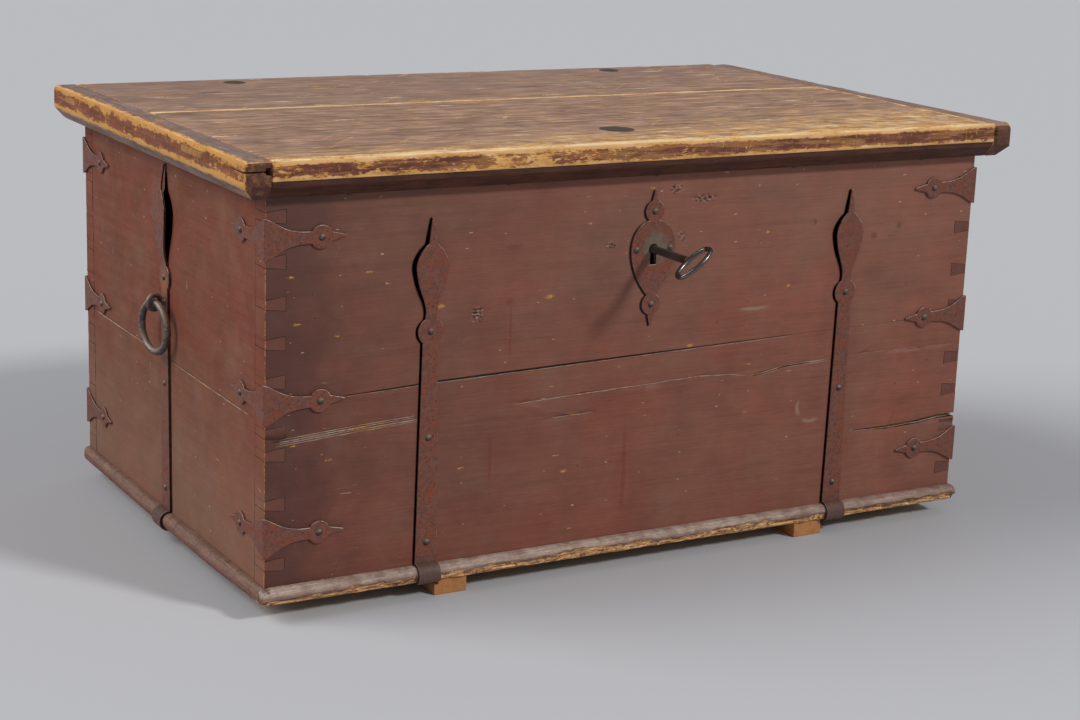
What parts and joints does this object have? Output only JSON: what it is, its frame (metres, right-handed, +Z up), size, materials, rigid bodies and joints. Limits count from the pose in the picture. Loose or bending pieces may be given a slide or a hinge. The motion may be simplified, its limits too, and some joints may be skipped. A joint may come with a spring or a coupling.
{
  "type": "blanket chest",
  "caption": "Painted board chest with a hinged overhanging lid, forged straps and corner irons, ring handles at both ends, and a keyed lock whose bolt catches a hasp under the lid.",
  "frame": {"origin": "bottom centre of the whole part's box, on the surface that the runners stand on", "axes": "+X along the front from the left end to the right end, +Y from the front to the back, +Z up"},
  "size_m": [1.292, 0.892, 0.6474],
  "materials": {
    "painted_board": "matte oxblood paint, worn",
    "base_board": "dusty worn paint, bare lower edge",
    "worn_lid": "paint rubbed through to bare pine",
    "bare_pine": "bare sawn pine",
    "painted_iron": "forged iron, painted over, worn",
    "dark_iron": "bare forged iron, dark brown",
    "nail_iron": "bare iron nail heads",
    "key_steel": "dark steel, bow rubbed bright"
  },
  "bodies": {
    "chest": {"back_lower_board": "painted_board", "back_upper_board": "painted_board", "base_nails": "nail_iron", "bottom_front_board": "base_board", "bottom_middle_board": "base_board", "bottom_rear_board": "base_board", "corner_iron_back_left_low": "painted_iron", "corner_iron_back_left_middle": "painted_iron", "corner_iron_back_left_top": "painted_iron", "corner_iron_back_right_low": "painted_iron", "corner_iron_back_right_middle": "painted_iron", "corner_iron_back_right_top": "painted_iron", "corner_iron_front_left_low": "painted_iron", "corner_iron_front_left_middle": "painted_iron", "corner_iron_front_left_top": "painted_iron", "corner_iron_front_right_low": "painted_iron", "corner_iron_front_right_middle": "painted_iron", "corner_iron_front_right_top": "painted_iron", "corner_iron_nails": "nail_iron", "end_strap_left": "painted_iron", "end_strap_right": "painted_iron", "escutcheon": "painted_iron", "escutcheon_nails": "nail_iron", "front_lower_board": "painted_board", "front_strap_left": "painted_iron", "front_strap_right": "painted_iron", "front_upper_board": "painted_board", "handle_eye_left": "dark_iron", "handle_eye_right": "dark_iron", "hinge_pin_left": "nail_iron", "hinge_pin_right": "nail_iron", "hinge_strap_left": "painted_iron", "hinge_strap_nails": "nail_iron", "hinge_strap_right": "painted_iron", "left_lower_board": "painted_board", "left_upper_board": "painted_board", "lock_cover": "dark_iron", "lock_nails": "nail_iron", "lock_plate": "dark_iron", "right_lower_board": "painted_board", "right_upper_board": "painted_board", "runner_left": "bare_pine", "runner_right": "bare_pine", "strap_nails": "nail_iron"},
    "lid": {"hinge_leaf_left": "dark_iron", "hinge_leaf_nails": "nail_iron", "hinge_leaf_right": "dark_iron", "lid_cleat_left": "worn_lid", "lid_cleat_right": "worn_lid", "lid_front_lip": "worn_lid", "lid_front_plank": "worn_lid", "lid_lip_nails": "nail_iron", "lid_pegs": "worn_lid", "lid_rear_plank": "worn_lid", "lid_rivets": "nail_iron", "lock_hasp": "dark_iron"},
    "handle_left": {"handle_ring_left": "dark_iron"},
    "handle_right": {"handle_ring_right": "dark_iron"},
    "key": {"key": "key_steel"},
    "bolt": {"lock_bolt": "dark_iron"}
  },
  "joints": [
    {"name": "lid_hinge", "type": "hinge", "parent": "chest", "child": "lid", "pos_m": [0, 0.4324, 0.6076], "axis": [-1, 0, 0], "range_deg": [0, 105]},
    {"name": "left_ring_swing", "type": "hinge", "parent": "chest", "child": "handle_left", "pos_m": [-0.6206, 0.057, 0.37116], "axis": [-0.1736, 0.9848, 0], "range_deg": [-4, 165]},
    {"name": "right_ring_swing", "type": "hinge", "parent": "chest", "child": "handle_right", "pos_m": [0.6206, 0.057, 0.37116], "axis": [-0.1736, -0.9848, 0], "range_deg": [-4, 165]},
    {"name": "key_turn", "type": "hinge", "parent": "chest", "child": "key", "pos_m": [0.005, 0, 0.481], "axis": [0, -1, 0], "range_deg": [0, 106]},
    {"name": "bolt_slide", "type": "slide", "parent": "chest", "child": "bolt", "axis": [-1, 0, 0], "range_m": [0, 0.018]}
  ],
  "couplings": [
    {"joint": "bolt_slide", "follows": "key_turn", "m_per_rad": 0.0097}
  ]
}
